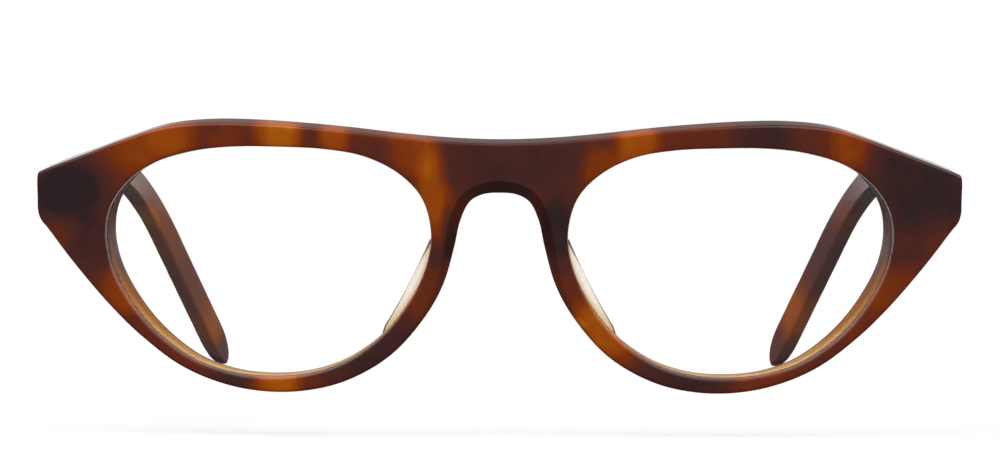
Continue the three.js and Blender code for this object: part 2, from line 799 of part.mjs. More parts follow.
front.rotation.x = restLean();
const standing = new THREE.Box3();
front.updateMatrixWorld(true);
front.traverse((object) => {
  if (object.isMesh) {
    pointsOf(object).forEach((point) => standing.expandByPoint(point));
  }
});
front.position.set(0, -(standing.min.y + standing.max.y) / 2, -standing.min.z);

const group = new THREE.Group();
group.add(front);

export default group;
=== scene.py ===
import json
from math import asin, cos, floor, pi, radians, sin, sqrt, tau

import bmesh
import bpy
from mathutils import Matrix, Vector


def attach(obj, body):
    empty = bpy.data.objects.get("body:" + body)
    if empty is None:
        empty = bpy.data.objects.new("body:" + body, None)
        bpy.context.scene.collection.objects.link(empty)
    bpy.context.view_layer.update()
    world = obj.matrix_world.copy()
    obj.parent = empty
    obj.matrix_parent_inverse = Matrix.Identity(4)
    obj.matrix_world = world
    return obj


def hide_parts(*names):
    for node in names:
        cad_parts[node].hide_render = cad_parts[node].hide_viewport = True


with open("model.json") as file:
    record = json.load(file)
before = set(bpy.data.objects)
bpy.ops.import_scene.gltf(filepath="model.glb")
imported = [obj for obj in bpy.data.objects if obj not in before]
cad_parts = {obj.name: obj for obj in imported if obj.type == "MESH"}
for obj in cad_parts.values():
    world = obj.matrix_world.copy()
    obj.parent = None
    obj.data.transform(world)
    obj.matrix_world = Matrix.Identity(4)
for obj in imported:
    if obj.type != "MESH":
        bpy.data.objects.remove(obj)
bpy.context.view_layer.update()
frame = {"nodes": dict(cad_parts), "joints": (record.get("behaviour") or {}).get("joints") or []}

mm = 0.001
overrun = 1   # how far cutters reach past what they cut, in millimetres
sides = ("right", "left")   # as the camera sees them
print("frame loaded:", len(frame["nodes"]), "nodes")


# Sizes of the acetate front in millimetres, drawn flat and then bent
front = {
    "openingWidth": 49.5, "openingHeight": 35.2, "bridgeWidth": 20.5,
    "bridgeTop": 18.6, "bridgeDepth": 7.7, "archBevelWidth": 2.1,
    "archBevelDepth": 1.7, "archSideShare": 0.6, "archFadeShares": (1, 3),
    "rimWidth": 2.4, "thickness": 4.5, "temporalThickening": 1.0,
    "wallThickening": 2.2,   # the wall round the lens is deeper still on its temporal side
    "edgeRounding": 0.45, "bendRadius": 300, "grooveDepth": 0.6,
    "grooveHalfWidth": 0.9, "grooveSetback": 2.0, "endReach": 10.75,
    "endHeight": 7.9, "endCentre": 8.9, "shoulderThickness": 8.4,
    "lugEdgeThickness": 7.2, "lugBlendLength": 9, "lugBlendHeight": 5,
    "shoulderShare": 0.28, "stepsPerSpan": 6, "cornerSteps": 4,
    "faceRows": 4, "planeSteps": 14,
}

# Lens opening, as shares of half its width and half its height, from the temporal side over the top
openingShares = [
    (1, 0.196), (0.969, 0.431), (0.86, 0.655), (0.689, 0.83), (0.452, 0.942), (0.214, 0.99),
    (-0.08, 1), (-0.371, 0.986), (-0.602, 0.929), (-0.808, 0.785), (-0.945, 0.577), (-1, 0.27),
    (-0.969, -0.02), (-0.889, -0.276), (-0.715, -0.606), (-0.481, -0.85), (-0.246, -0.967),
    (0, -1), (0.242, -0.97), (0.464, -0.867), (0.703, -0.629), (0.868, -0.35), (0.969, -0.071),
]

# Outline: a place along the opening, then the rim's width in rim widths,
# or two shares of the bridge or of the endpiece
topRimShares = [
    (2.5, 2.31), (3.5, 1.9), (4.5, 1.63), (5.5, 1.45), (6.5, 1.32), (7.5, 1.35), (8.5, 1.95),
]
bottomRimShares = [
    (12.3, 1.38), (13.2, 1.33), (14.2, 1.25), (15.2, 1.11), (16.2, 1.01), (17.2, 0.93),
    (18.2, 0.79), (19.2, 0.76), (20.2, 0.88), (20.9, 1.17), (21.5, 1.52),
]
bridgeTopShares = [(8.9, 0.78, -0.035), (9.2, 0, 0)]
archShares = [
    (9.45, 0, 1), (9.65, 0.254, 1.035), (9.95, 0.439, 1.18), (10.5, 0.576, 1.556),
    (11.2, 0.659, 2.05),
]
endLowerShares = [(22, 0.525, -2.38), (22.4, 0.86, -1.22)]
endSideShares = [
    (-0.6, 0.86, -1.22), (-0.35, 0.949, -0.937), (-0.1, 0.99, -0.62), (0.25, 0.996, 0),
    (0.65, 0.993, 0.747), (0.85, 0.974, 0.9), (1.1, 0.916, 0.987),
]
endUpperShares = [(1.1, 0.916, 0.987), (1.7, 0.3, 1.67)]

halfBridge = front["bridgeWidth"] / 2
halfOpening = front["openingWidth"] / 2
lensCentre = halfBridge + halfOpening
openingOuter = halfBridge + front["openingWidth"]
halfFront = openingOuter + front["endReach"]
archTop = front["bridgeTop"] - front["bridgeDepth"]


def smoothStep(value, start, end):
    share = min(1, max(0, (value - start) / (end - start)))
    return share * share * (3 - 2 * share)


def mix(start, end, share):
    return start + (end - start) * share


def curvePoint(points, place, closed=False):   # smooth curve through points; place counts them
    count = len(points)
    first = floor(place)
    if not closed:
        first = min(max(first, 0), count - 2)
    share = place - first

    def at(index):
        if closed:
            return points[index % count]
        if index < 0:
            return 2 * points[0] - points[1]
        return points[index] if index < count else 2 * points[-1] - points[-2]

    before, start, end, after = (at(first + step) for step in (-1, 0, 1, 2))
    gapIn, gap, gapOut = (
        sqrt((b - a).length) for a, b in ((before, start), (start, end), (end, after))
    )
    leave = ((start - before) / gapIn - (end - before) / (gapIn + gap) + (end - start) / gap) * gap
    arrive = ((end - start) / gap - (after - start) / (gap + gapOut) + (after - end) / gapOut) * gap
    curve = 2 * start - 2 * end + leave + arrive
    turn = 3 * end - 3 * start - 2 * leave - arrive
    return ((curve * share + turn) * share + leave) * share + start


openingPoints = [
    Vector((lensCentre + across * halfOpening, up * front["openingHeight"] / 2, 0))
    for across, up in openingShares
]


def openingAt(place):
    return curvePoint(openingPoints, place % len(openingPoints), closed=True)


def outwardAt(place):
    nudge = 0.001
    along = openingAt(place + nudge) - openingAt(place - nudge)
    return Vector((along.y, -along.x, 0)).normalized()


def rimKeys(shares):
    return [
        (place, openingAt(place) + outwardAt(place) * width * front["rimWidth"])
        for place, width in shares
    ]


def bridgeKeys(shares):
    return [
        (place, Vector((half * halfBridge, front["bridgeTop"] - down * front["bridgeDepth"], 0)))
        for place, half, down in shares
    ]


def endKeys(shares):
    centre = Vector((openingOuter, front["endCentre"], 0))
    return [
        (place, centre + Vector((reach * front["endReach"], up * front["endHeight"] / 2, 0)))
        for place, reach, up in shares
    ]


# Pairs of a place along the opening and a point of the outline
def stationsAlong(keys, guideBefore, guideAfter):
    points = [*guideBefore, *(outer for _, outer in keys), *guideAfter]
    steps = front["stepsPerSpan"]
    stations = []
    for index in range((len(keys) - 1) * steps):
        share = index / steps
        low = index // steps
        place = mix(keys[low][0], keys[low + 1][0], share - low)
        stations.append((place, curvePoint(points, len(guideBefore) + share)))
    return stations


def mirrored(point):
    return Vector((-point.x, point.y, point.z))


def outlineStations():
    side = endKeys(endSideShares)
    top = [*endKeys(endUpperShares), *rimKeys(topRimShares), *bridgeKeys(bridgeTopShares)]
    bottom = [*bridgeKeys(archShares), *rimKeys(bottomRimShares), *endKeys(endLowerShares)]
    sideStations = stationsAlong(side, [bottom[-2][1]], [top[1][1]])
    topStations = stationsAlong(top, [side[-2][1]], [mirrored(top[-2][1])])
    bottomStations = stationsAlong(bottom, [mirrored(bottom[1][1])], [side[1][1]])
    centre = len(sideStations) + len(topStations)
    stations = [*sideStations, *topStations, top[-1], *bottomStations]
    return stations, centre, centre + 1


def outlineNormals(stations, topCentre, archCentre):
    normals = []
    for index, (_, here) in enumerate(stations):
        before = stations[index - 1][1]
        after = stations[(index + 1) % len(stations)][1]
        along = (here - before).normalized() + (after - here).normalized()
        normals.append(Vector((along.y, -along.x, 0)).normalized())
    normals[topCentre] = Vector((0, 1, 0))
    normals[archCentre] = Vector((0, -1, 0))
    return normals


def lugShareAt(outer):   # how much of the thick endpiece there is
    reach = front["lugBlendLength"] / 2
    across = smoothStep(outer.x, openingOuter - reach, openingOuter + reach)
    fadeStart = front["endHeight"] / 2 + front["edgeRounding"]
    distance = abs(outer.y - front["endCentre"])
    return across * (1 - smoothStep(distance, fadeStart, fadeStart + front["lugBlendHeight"]))


def archShareAt(outer, place):   # how much of the wide bevel beside the nose there is
    if place < archShares[0][0] or outer.x > lensCentre:
        return 0
    fadeStart, fadeEnd = (share * front["bridgeDepth"] for share in front["archFadeShares"])
    return 1 - smoothStep(archTop - outer.y, fadeStart, fadeEnd)


def roundedCorner(start, corner, end, roundness):
    steps = front["cornerSteps"]
    circle = 0.414   # a quarter circle's middle, between its chord and its corner
    points = []
    for step in range(steps + 1):
        share = step / steps
        pull = roundness * circle * 4 * share * (1 - share)
        points.append(start.lerp(end, share).lerp(corner, pull))
    return points


def atDepth(point, depth):
    return Vector((point.x, point.y, depth))


# From the front face's inner edge over the lens groove to the shoulder
def wallSection(place, outer):
    edge, into = openingAt(place), outwardAt(place)
    rounding = front["edgeRounding"]
    inset = edge + into * rounding
    setback, halfGroove = front["grooveSetback"], front["grooveHalfWidth"]
    temporal = smoothStep(edge.x, lensCentre, openingOuter)
    back = front["thickness"] + front["wallThickening"] * temporal
    frontEdge = roundedCorner(inset, edge, atDepth(edge, rounding), 1)
    backEdge = roundedCorner(
        atDepth(edge, back - rounding), atDepth(edge, back), atDepth(inset, back), 1)
    groove = [
        atDepth(edge, setback - halfGroove),
        atDepth(edge + into * front["grooveDepth"], setback),
        atDepth(edge, setback + halfGroove),
    ]
    shoulderBack = mix(back, front["shoulderThickness"], lugShareAt(outer))
    shoulder = atDepth(edge.lerp(outer, front["shoulderShare"]), shoulderBack)
    return frontEdge, groove, backEdge, shoulder


def outerSection(place, outer, normal):   # from the back over the outline to the front face
    rounding = front["edgeRounding"]
    arch = archShareAt(outer, place)
    back = mix(front["thickness"], front["lugEdgeThickness"], lugShareAt(outer))
    centreShare = 1 - min(1, outer.x / halfBridge)
    archWidth = front["archBevelWidth"]
    sideWidth = mix(front["archSideShare"] * archWidth, archWidth, centreShare)
    bevelWidth = mix(rounding, sideWidth, arch)
    bevelDepth = mix(rounding, front["archBevelDepth"], arch)
    backInset = atDepth(outer - normal * rounding, back)
    backEdge = roundedCorner(backInset, atDepth(outer, back), atDepth(outer, back - rounding), 1)
    bevelInset = outer - normal * bevelWidth
    frontEdge = roundedCorner(atDepth(outer, bevelDepth), outer, bevelInset, 1 - arch)
    return backEdge, frontEdge


def wholeSection(wall, rim):
    frontEdge, groove, backEdge, shoulder = wall
    rimBack, rimFront = rim
    rows = front["faceRows"]
    hump = [backEdge[-1], shoulder, rimBack[0]]
    back = [curvePoint(hump, 2 * step / rows) for step in range(1, rows)]
    face = [rimFront[-1].lerp(frontEdge[0], step / rows) for step in range(1, rows)]
    return [*frontEdge, *groove, *backEdge, *back, *rimBack, *rimFront, *face]


def bent(point):   # rolls the flat front about an upright axis behind it
    bend = front["bendRadius"]
    angle, radius = point.x / bend, bend - point.z
    return Vector((radius * sin(angle), bend - radius * cos(angle), point.y))


# Hinges in millimetres, with the screw upright, the temple along Y and the outside along X
hinge = {
    "knuckleRadius": 1.3, "knuckleHeight": 0.95, "knuckleGap": 0.08,
    "knuckleCount": 5, "boreRadius": 0.78, "pivotSetback": 1.5,
    "leafThickness": 1.1, "frontLeafWidth": 5.3, "frontLeafInset": 1.1,
    "templeLeafLength": 9, "leafClearance": 0.05, "leafRounding": 0.12,
    "roundingSegments": 3,
    "webInset": 0.02,   # the webs stop short of the knuckles' ends
    "webShare": 0.8, "screwRadius": 0.62, "headRadius": 1.15,
    "headHeight": 0.55, "domeReach": 0.45, "domeDrop": 0.3,
    "slotWidth": 0.35, "slotDepth": 0.28, "tailLength": 0.35,
    "turnSteps": 48, "jointGap": 0.3, "pantoscopic": radians(8.5),
    "splay": radians(0.2), "templeThickness": 3.8,
}
hingePitch = hinge["knuckleHeight"] + hinge["knuckleGap"]
leafHalf = (hinge["knuckleCount"] * hingePitch - hinge["knuckleGap"]) / 2
webHalf = hinge["webShare"] * hinge["knuckleRadius"]
templeStart = hinge["jointGap"] - hinge["pivotSetback"]

# The front leans on the table: the hinge's place and axis in the frame say how far
endBack = bent(Vector((halfFront, 0, front["thickness"] + front["temporalThickening"])))
pivotAcross = endBack.x - hinge["templeThickness"] - hinge["pivotSetback"]
pivotLocal = Vector((pivotAcross, endBack.y + hinge["pivotSetback"], front["endCentre"]))
rightJoint = next(joint for joint in frame["joints"] if joint["name"] == "temple_fold_right")
lean = hinge["pantoscopic"] - asin(rightJoint["axis"][1])
pivotWorld = Vector(rightJoint["pos_m"])
frontTurn = Matrix.Rotation(lean, 4, "X")
toPivot = Matrix.Translation(pivotWorld - frontTurn @ (pivotLocal * mm))
frontPlace = toPivot @ frontTurn @ Matrix.Scale(mm, 4)
tilt = Matrix.Rotation(-hinge["pantoscopic"], 4, "X")
hingeLocal = Matrix.Translation(pivotLocal) @ (tilt @ Matrix.Rotation(-hinge["splay"], 4, "Z"))
hingePlace = frontPlace @ hingeLocal


# The first row is drawn, and each further row is extruded from the one before
def skinRows(bm, rows):
    order = bm.verts.layers.int.get("order") or bm.verts.layers.int.new("order")
    verts = [bm.verts.new(point) for point in rows[0]]
    for place, vert in enumerate(verts):
        vert[order] = place
    firstEdges = [bm.edges.new(pair) for pair in zip(verts, verts[1:] + verts[:1])]
    edges = firstEdges
    for row in rows[1:]:
        grown = bmesh.ops.extrude_edge_only(bm, edges=edges)["geom"]
        newEdges = [item for item in grown if isinstance(item, bmesh.types.BMEdge)]
        edges = [edge for edge in newEdges if edge.is_boundary]
        for item in grown:
            if isinstance(item, bmesh.types.BMVert):
                item.co = row[item[order]]
    return firstEdges, edges


def cleaned(bm, distance=0.0005):   # merges doubles, then turns all faces outwards
    bmesh.ops.remove_doubles(bm, verts=bm.verts, dist=distance)
    bmesh.ops.dissolve_degenerate(bm, edges=bm.edges, dist=distance)
    bmesh.ops.recalc_face_normals(bm, faces=bm.faces)
    return bm


def cappedSkin(rows):   # a skin over the rows, closed at both ends
    bm = bmesh.new()
    for loop in skinRows(bm, rows):
        faces = bmesh.ops.edgeloop_fill(bm, edges=loop)["faces"]
        bmesh.ops.poke(bm, faces=faces)
    return cleaned(bm)


def mirroredCopy(bm):
    copy = bm.copy()
    bmesh.ops.scale(copy, vec=(-1, 1, 1), verts=copy.verts)
    bmesh.ops.recalc_face_normals(copy, faces=copy.faces)
    return copy


def placed(bm, matrix):
    bmesh.ops.transform(bm, matrix=matrix, verts=bm.verts)
    return bm


def linked(name, data):   # a new object in the scene
    item = bpy.data.objects.new(name, data)
    bpy.context.scene.collection.objects.link(item)
    return item


def meshFrom(name, bm):
    mesh = bpy.data.meshes.new(name)
    bm.to_mesh(mesh)
    return mesh


def combined(bm, other, operation):   # joins or cuts two closed shapes
    parts = [linked("shape", meshFrom("shape", bm)), linked("tool", meshFrom("tool", other))]
    step = parts[0].modifiers.new("combine", "BOOLEAN")
    step.operation = operation
    step.solver = "EXACT"
    step.object = parts[1]
    graph = bpy.context.evaluated_depsgraph_get()
    result = bmesh.new()
    result.from_mesh(parts[0].evaluated_get(graph).to_mesh())
    for part in parts:
        bpy.data.meshes.remove(part.data)   # the object goes with it
    return result


def slab(low, high, rounding=0):
    bm = bmesh.new()
    low, high = Vector(low), Vector(high)
    bmesh.ops.create_cube(bm, size=1)
    bmesh.ops.scale(bm, vec=high - low, verts=bm.verts)
    bmesh.ops.translate(bm, vec=(low + high) / 2, verts=bm.verts)
    if rounding:
        bmesh.ops.bevel(bm, geom=bm.edges[:], offset=rounding, offset_type="OFFSET",
                        segments=hinge["roundingSegments"], profile=0.5, affect="EDGES",
                        material=-1, clamp_overlap=True)
    return bm


def turned(profile, closed):   # spins a profile of (radius, height) about the screw's axis
    bm = bmesh.new()
    verts = [bm.verts.new((radius, 0, height)) for radius, height in profile]
    pairs = list(zip(verts, verts[1:] + verts[:1]))
    edges = [bm.edges.new(pair) for pair in (pairs if closed else pairs[:-1])]
    bmesh.ops.spin(bm, geom=verts + edges, cent=(0, 0, 0), axis=(0, 0, 1), dvec=(0, 0, 0),
                   angle=tau, steps=hinge["turnSteps"], use_merge=True)
    return cleaned(bm)


def addPiece(name, bm, looks, body, node, sharpAngle=radians(35)):
    for face in bm.faces:
        face.smooth = True
    mesh = meshFrom(name, bm)
    bm.free()
    mesh.set_sharp_from_angle(angle=sharpAngle)
    for material in looks:
        mesh.materials.append(material)
    piece = linked(name, mesh)
    weighted = piece.modifiers.new("even shading", "WEIGHTED_NORMAL")
    weighted.keep_sharp = True
    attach(piece, body)
    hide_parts(node)
    print("piece:", name, len(mesh.polygons), "faces")


def frontHalf():
    stations, topCentre, archCentre = outlineStations()
    normals = outlineNormals(stations, topCentre, archCentre)
    rims = [outerSection(place, outer, normal) for (place, outer), normal in zip(stations, normals)]
    walls = [wallSection(place, outer) for place, outer in stations]
    sections = [wholeSection(wall, rim) for wall, rim in zip(walls, rims)]
    inPlane = []   # sections down the centre plane, from the bridge's top to the arch
    for step in range(1, front["planeSteps"]):
        share = step / front["planeSteps"]
        place = mix(stations[topCentre][0], stations[archCentre][0], share)
        outer = stations[topCentre][1].lerp(stations[archCentre][1], share)
        rim = [
            [a.lerp(b, share) for a, b in zip(high, low)]
            for high, low in zip(rims[topCentre], rims[archCentre])
        ]
        inPlane.append(wholeSection(wallSection(place, outer), rim))
    sections[archCentre:archCentre] = inPlane
    rows = [[bent(point) for point in row] for row in zip(*sections)]
    bm = bmesh.new()
    skinRows(bm, rows + rows[:1])
    return cleaned(bm)


def jointCutter():   # squares off the endpiece where the temple meets it
    setback, reach = hinge["pivotSetback"], front["endReach"]
    half = front["endHeight"] + overrun
    return slab((-2 * setback, -setback, -half), (reach, reach, half))


def frontLeafPocket():
    clearance, inset = hinge["leafClearance"], hinge["frontLeafInset"]
    bottom = -hinge["pivotSetback"] - hinge["leafThickness"] - clearance
    low = (-inset - clearance, bottom, -leafHalf - clearance)
    high = (hinge["frontLeafWidth"] - inset + clearance, overrun, leafHalf + clearance)
    return slab(low, high)


def frontShape():
    bm = frontHalf()
    for cutter in (jointCutter(), frontLeafPocket()):
        bm = combined(bm, placed(cutter, hingeLocal), "DIFFERENCE")
    onPlane = 0.001   # nearer to the centre plane than this counts as on it
    inner = [face for face in bm.faces if all(abs(vert.co.x) < onPlane for vert in face.verts)]
    bmesh.ops.delete(bm, geom=inner, context="FACES")
    whole = bm.verts[:] + bm.edges[:] + bm.faces[:]
    bmesh.ops.mirror(bm, geom=whole, axis="X", merge_dist=onPlane)
    return cleaned(bm)


# Lenses in millimetres
lens = {
    "thickness": 1.9, "bulge": 1.35, "clearance": 0.03, "edgeStations": 138,
    "ringCount": 14,
    "firstRing": 0.3,   # of a ring's width, from the middle
    "edgeFacing": 0.85,   # faces turned further from the front belong to the ground edge
}


def lensShape():
    stations = lens["edgeStations"]
    setback = front["grooveSetback"]
    centre = Vector((lensCentre, 0, 0))
    half = lens["thickness"] / 2

    def ring(reach, share, depth):
        points = []
        for index in range(stations):
            place = index / stations * len(openingPoints)
            edge = openingAt(place) + outwardAt(place) * reach
            point = centre.lerp(edge, share)
            points.append(bent(atDepth(point, depth - lens["bulge"] * (1 - share * share))))
        return points

    rings, first = lens["ringCount"], lens["firstRing"]
    shares = [(step + first) / (rings + first) for step in range(rings + 1)]
    rows = [ring(-lens["clearance"], share, setback - half) for share in shares]
    rows.append(ring(front["grooveDepth"] - lens["clearance"], 1, setback))
    rows += [ring(-lens["clearance"], share, setback + half) for share in reversed(shares)]
    bm = cappedSkin(rows)
    for face in bm.faces:
        face.material_index = int(abs(face.normal.y) < lens["edgeFacing"])
    return bm


# Nose pads in millimetres: bonded crescents on the back of the rims
pad = {
    "reach": 4.6, "baseWidth": 2.7, "flareWidth": 2.2, "seatGap": -0.04,
    "endShares": (11.05, 14.35), "tipShare": 0.16, "fullnessShare": 0.7,
    "middleShare": 0.5,
    "roundedUntil": 0.45,   # fullness at which the pad has its whole width
    "tipWidthShare": 0.2, "sections": 40, "stepsPerPoint": 4,
}
padSectionShares = [
    (0.04, 0), (0.96, 0), (1.1, 0.3), (1.32, 0.62), (1.64, 0.9),
    (1.58, 1.0), (1.34, 1.04), (0.94, 0.86), (0.48, 0.5), (0.12, 0.2),
]


def padSection():   # the section's outline, smoothed between its points
    points = [Vector((across, back, 0)) for across, back in padSectionShares]
    steps = pad["stepsPerPoint"]
    places = [index / steps for index in range(len(points) * steps)]
    return [curvePoint(points, place, closed=True) for place in places]


def padShape():
    section = padSection()
    rows = []
    for index in range(pad["sections"]):
        along = index / (pad["sections"] - 1)
        place = mix(*pad["endShares"], along)
        fullness = max(0, sin(pi * along)) ** pad["fullnessShare"]
        swell = mix(pad["tipShare"], 1, fullness)
        widthShare = max(pad["tipWidthShare"], sqrt(min(1, fullness / pad["roundedUntil"])))
        edge, into = openingAt(place), outwardAt(place)
        row = []
        for share in section:
            across, back = mix(pad["middleShare"], share.x, widthShare), max(0, share.y)
            inward = pad["baseWidth"] * (1 - across) + front["edgeRounding"]
            flare = pad["flareWidth"] * back * back * (swell - 1) * widthShare
            depth = front["thickness"] + pad["seatGap"] + back * pad["reach"] * swell
            row.append(bent(atDepth(edge + into * (inward - flare), depth)))
        rows.append(row)
    return cappedSkin(rows)


def knuckle(index):
    bottom = -leafHalf + index * hingePitch
    top = bottom + hinge["knuckleHeight"]
    bore, radius, soft = hinge["boreRadius"], hinge["knuckleRadius"], hinge["leafRounding"]
    profile = [
        (bore, bottom), (radius - soft, bottom), (radius, bottom + soft),
        (radius, top - soft), (radius - soft, top), (bore, top),
    ]
    return turned(profile, closed=True), bottom, top


def leafShape(plate, firstKnuckle, webLow, webHigh):
    # the web ends inside the knuckle's wall, so that no two faces coincide
    inWall = (hinge["boreRadius"] + hinge["knuckleRadius"]) / 2
    reach = leafHalf + overrun
    bore = turned([(0, -reach), (inWall, -reach), (inWall, reach), (0, reach)], closed=False)
    bm, inset = plate, hinge["webInset"]
    for index in range(firstKnuckle, hinge["knuckleCount"], 2):
        barrel, bottom, top = knuckle(index)
        web = slab((*webLow, bottom + inset), (*webHigh, top - inset), hinge["leafRounding"] / 2)
        bm = combined(bm, combined(web, bore, "DIFFERENCE"), "UNION")
        bm = combined(bm, barrel, "UNION")
    return cleaned(bm)


def frontLeafShape():
    back, thick, inset = -hinge["pivotSetback"], hinge["leafThickness"], hinge["frontLeafInset"]
    low, high = (-inset, back - thick, -leafHalf), (hinge["frontLeafWidth"] - inset, back, leafHalf)
    plate = slab(low, high, hinge["leafRounding"])
    return leafShape(plate, 0, (-webHalf, back - thick / 2), (webHalf, 0))


def templeLeafShape():
    inner, thick = hinge["pivotSetback"], hinge["leafThickness"]
    low = (inner, templeStart + hinge["leafClearance"], -leafHalf)
    high = (inner + thick, templeStart + hinge["templeLeafLength"], leafHalf)
    plate = slab(low, high, hinge["leafRounding"])
    return leafShape(plate, 1, (0, -webHalf), (inner + thick / 2, webHalf))


def screwShape():
    seat = leafHalf + hinge["knuckleGap"]
    top = seat + hinge["headHeight"]
    tail = -leafHalf - hinge["tailLength"]
    head, shank, soft = hinge["headRadius"], hinge["screwRadius"], hinge["leafRounding"]
    bm = turned([
        (0, top), (head * hinge["domeReach"], top - soft * hinge["domeDrop"]),
        (head - soft, top - soft), (head, top - 2 * soft), (head, seat + soft / 2),
        (head - soft / 2, seat), (shank, seat), (shank, tail + soft), (shank - soft, tail),
        (0, tail),
    ], closed=False)
    half, reach = hinge["slotWidth"] / 2, head + overrun
    slot = slab((-reach, -half, top - hinge["slotDepth"]), (reach, half, top + overrun))
    return cleaned(combined(bm, slot, "DIFFERENCE"))


# Temples in millimetres, measured along the middle of their inner faces
temple = {
    "length": 144.96, "frontHeight": 7.0, "middleHeight": 4.6,
    "tipHeight": 4.77, "middleThickness": 3.0, "tipThickness": 2.8,
    "taperStart": 30, "edgeRounding": 0.55,
    "roundingLimit": 0.5,   # as a share of half the section, near the tip
    "endRounding": 0.2, "bendStart": 80, "bendRadius": 37,
    "earBend": radians(46.65), "bowStart": 75.5, "bowRadius": 82,
    "bowAngle": radians(24), "tipLength": 8, "tipTurnShare": 0.985,
    "tipThicknessShare": 0.3, "walkStep": 0.25, "sections": 76,
    "tipSections": 10, "cornerSteps": 4,
}


def templeDirections(distance):
    drop = min(temple["earBend"], max(0, (distance - temple["bendStart"]) / temple["bendRadius"]))
    turn = min(temple["bowAngle"], max(0, (distance - temple["bowStart"]) / temple["bowRadius"]))
    outward = Vector((cos(turn), sin(turn), 0))
    level = cos(drop)
    along = Vector((-sin(turn) * level, cos(turn) * level, -sin(drop)))
    return along, outward


def templeFrames():   # walks along the temple and notes place and directions on the way
    place = Vector((hinge["pivotSetback"], templeStart, 0))
    frames = []
    step = temple["walkStep"]
    for index in range(round(temple["length"] / step) + 1):
        along, outward = templeDirections(index * step)
        frames.append((place.copy(), outward, outward.cross(along)))
        place += templeDirections((index + 0.5) * step)[0] * step
    return frames


def templeFrameAt(frames, length):
    walked = length / temple["walkStep"]
    index = min(len(frames) - 2, int(walked))
    return [a.lerp(b, walked - index) for a, b in zip(frames[index], frames[index + 1])]


def templeHeightAt(length):
    bendStart = temple["bendStart"]
    height = mix(temple["frontHeight"], temple["middleHeight"], smoothStep(length, 0, bendStart))
    toTip = smoothStep(length, bendStart, temple["length"] - temple["tipLength"])
    return mix(height, temple["tipHeight"], toTip)


def templeThicknessAt(length):
    toMiddle = smoothStep(length, temple["taperStart"], temple["bendStart"])
    thickness = mix(hinge["templeThickness"], temple["middleThickness"], toMiddle)
    toTip = smoothStep(length, temple["bendStart"], temple["length"])
    return mix(thickness, temple["tipThickness"], toTip)


def templeRing(frames, length, heightShare, thicknessShare, inset=0):
    place, outward, upward = templeFrameAt(frames, length)
    thickness = templeThicknessAt(length)
    halfUp = templeHeightAt(length) / 2 * heightShare - inset
    halfAcross = thickness / 2 * thicknessShare - inset
    rounding = min(temple["edgeRounding"], temple["roundingLimit"] * min(halfUp, halfAcross))
    middle = place + outward * thickness / 2
    steps = temple["cornerSteps"]
    ring = []
    for corner, (acrossSign, upSign) in enumerate(((1, 1), (-1, 1), (-1, -1), (1, -1))):
        for step in range(steps + 1):
            angle = pi / 2 * (corner + step / steps)
            across = acrossSign * (halfAcross - rounding) + rounding * cos(angle)
            up = upSign * (halfUp - rounding) + rounding * sin(angle)
            ring.append(middle + outward * across + upward * up)
    return ring


def templeShape():
    frames = templeFrames()
    straightEnd = temple["length"] - temple["tipLength"]
    soft = temple["endRounding"]
    rings = []
    for step in range(temple["cornerSteps"]):   # the rounded edge of the end at the joint
        angle = pi / 2 * step / (temple["cornerSteps"] - 1)
        inset = soft * (1 - sin(angle))
        rings.append(templeRing(frames, soft * (1 - cos(angle)), 1, 1, inset))
    for step in range(1, temple["sections"] + 1):
        length = mix(soft, straightEnd, step / temple["sections"])
        rings.append(templeRing(frames, length, 1, 1))
    for step in range(1, temple["tipSections"] + 1):
        angle = pi / 2 * temple["tipTurnShare"] * step / temple["tipSections"]
        length = straightEnd + temple["tipLength"] * sin(angle)
        thicknessShare = mix(temple["tipThicknessShare"], 1, cos(angle))
        rings.append(templeRing(frames, length, cos(angle), thicknessShare))
    clearance, inner = hinge["leafClearance"], hinge["pivotSetback"]
    depth = inner + hinge["leafThickness"] + clearance
    length = templeStart + hinge["templeLeafLength"] + clearance
    low = (inner - overrun, templeStart - overrun, -leafHalf - clearance)
    pocket = slab(low, (depth, length, leafHalf + clearance))
    return cleaned(combined(cappedSkin(rings), pocket, "DIFFERENCE"))


# Materials. Colours are written as the eye reads them on screen, and turned linear here
def linear(red, green, blue):
    def one(value):
        share = value / 255
        return share / 12.92 if share <= 0.04045 else ((share + 0.055) / 1.055) ** 2.4
    return (one(red), one(green), one(blue), 1)


def newMaterial(name):
    material = bpy.data.materials.new(name)
    material.use_nodes = True
    return material, material.node_tree.nodes["Principled BSDF"]


def feed(node, inputs):   # links what comes from another node, and sets what is a number or colour
    for socket, value in inputs.items():
        if isinstance(value, bpy.types.NodeSocket):
            node.id_data.links.new(value, node.inputs[socket])
        else:
            node.inputs[socket].default_value = value


# A node in the same tree as another node or socket
def addNode(beside, kind, inputs={}, **settings):
    node = beside.id_data.nodes.new("ShaderNode" + kind)
    for name, value in settings.items():
        setattr(node, name, value)
    feed(node, inputs)
    return node


def calculated(operation, first, second=0):
    return addNode(first, "Math", {0: first, 1: second}, operation=operation).outputs[0]


def product(first, second):
    return calculated("MULTIPLY", first, second)


def vectorMath(operation, first, second=(0, 0, 0), output="Vector"):
    return addNode(first, "VectorMath", {0: first, 1: second}, operation=operation).outputs[output]


def scaled(first, scale):
    return addNode(first, "VectorMath", {0: first, "Scale": scale}, operation="SCALE").outputs[0]


def dotted(first, second):
    return vectorMath("DOT_PRODUCT", first, second, output="Value")


def objectPlace(beside):
    return addNode(beside, "TexCoord").outputs["Object"]


def inMillimetres(place):
    return scaled(place, 1 / mm)


def separated(place):
    node = addNode(place, "SeparateXYZ", {"Vector": place})
    return node.outputs["X"], node.outputs["Y"], node.outputs["Z"]


